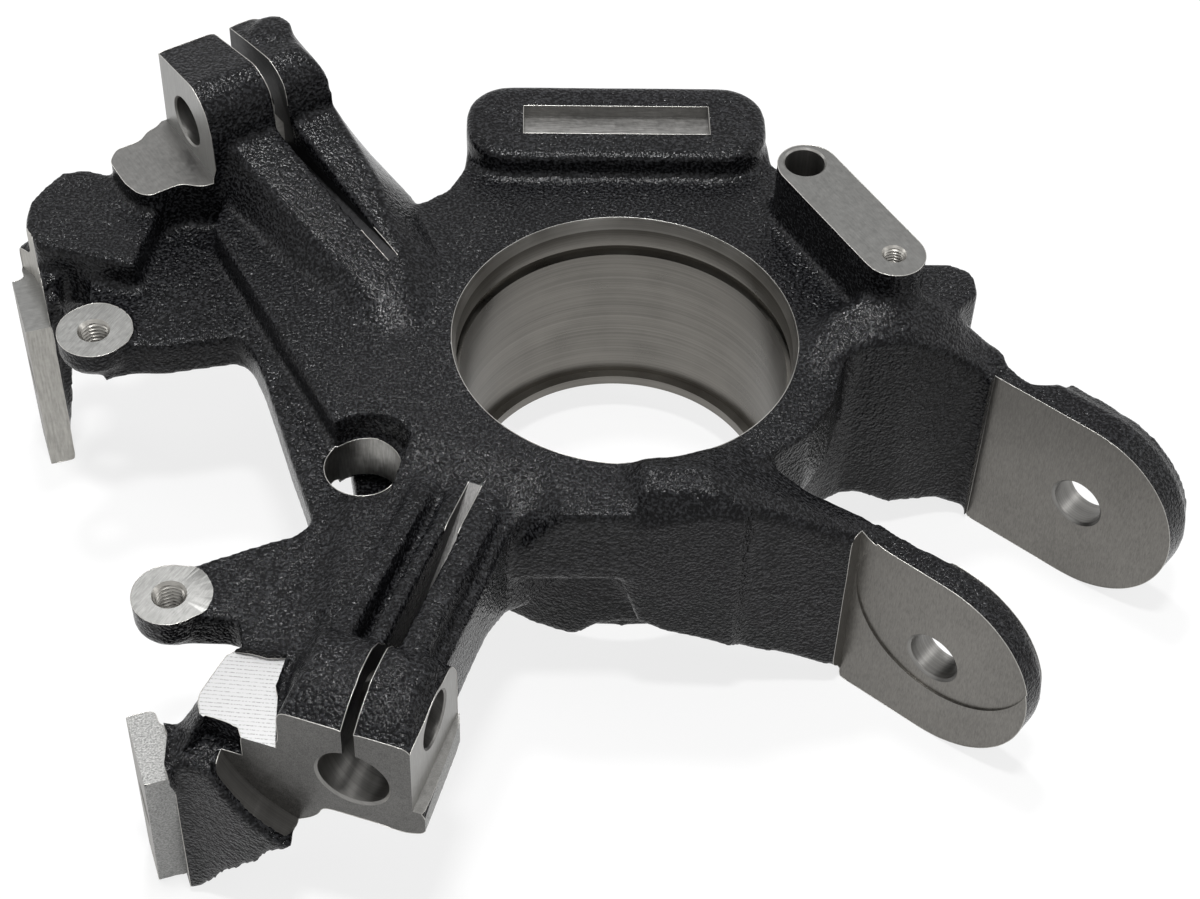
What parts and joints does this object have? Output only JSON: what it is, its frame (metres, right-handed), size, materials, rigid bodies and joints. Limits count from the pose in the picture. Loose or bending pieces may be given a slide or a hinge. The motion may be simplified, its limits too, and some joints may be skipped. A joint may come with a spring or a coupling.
{
  "type": "steering knuckle",
  "caption": "Cast steering knuckle: a hub ring with a turned bearing bore, split stud clamps, a two-ear fork, sensor boss, long pad and bracket ears",
  "frame": {"origin": "middle of the wheel-bearing seat, on the bore's axis", "axes": "+Z along the bore out of the hub face, +X along the long pad, +Y from the bore to the pad"},
  "size_m": [0.3226, 0.235, 0.1064],
  "materials": {
    "casting": "black coat on the sand-cast skin, bare machined faces and bores"
  },
  "bodies": {
    "root": {"knuckle": "casting"}
  },
  "joints": []
}
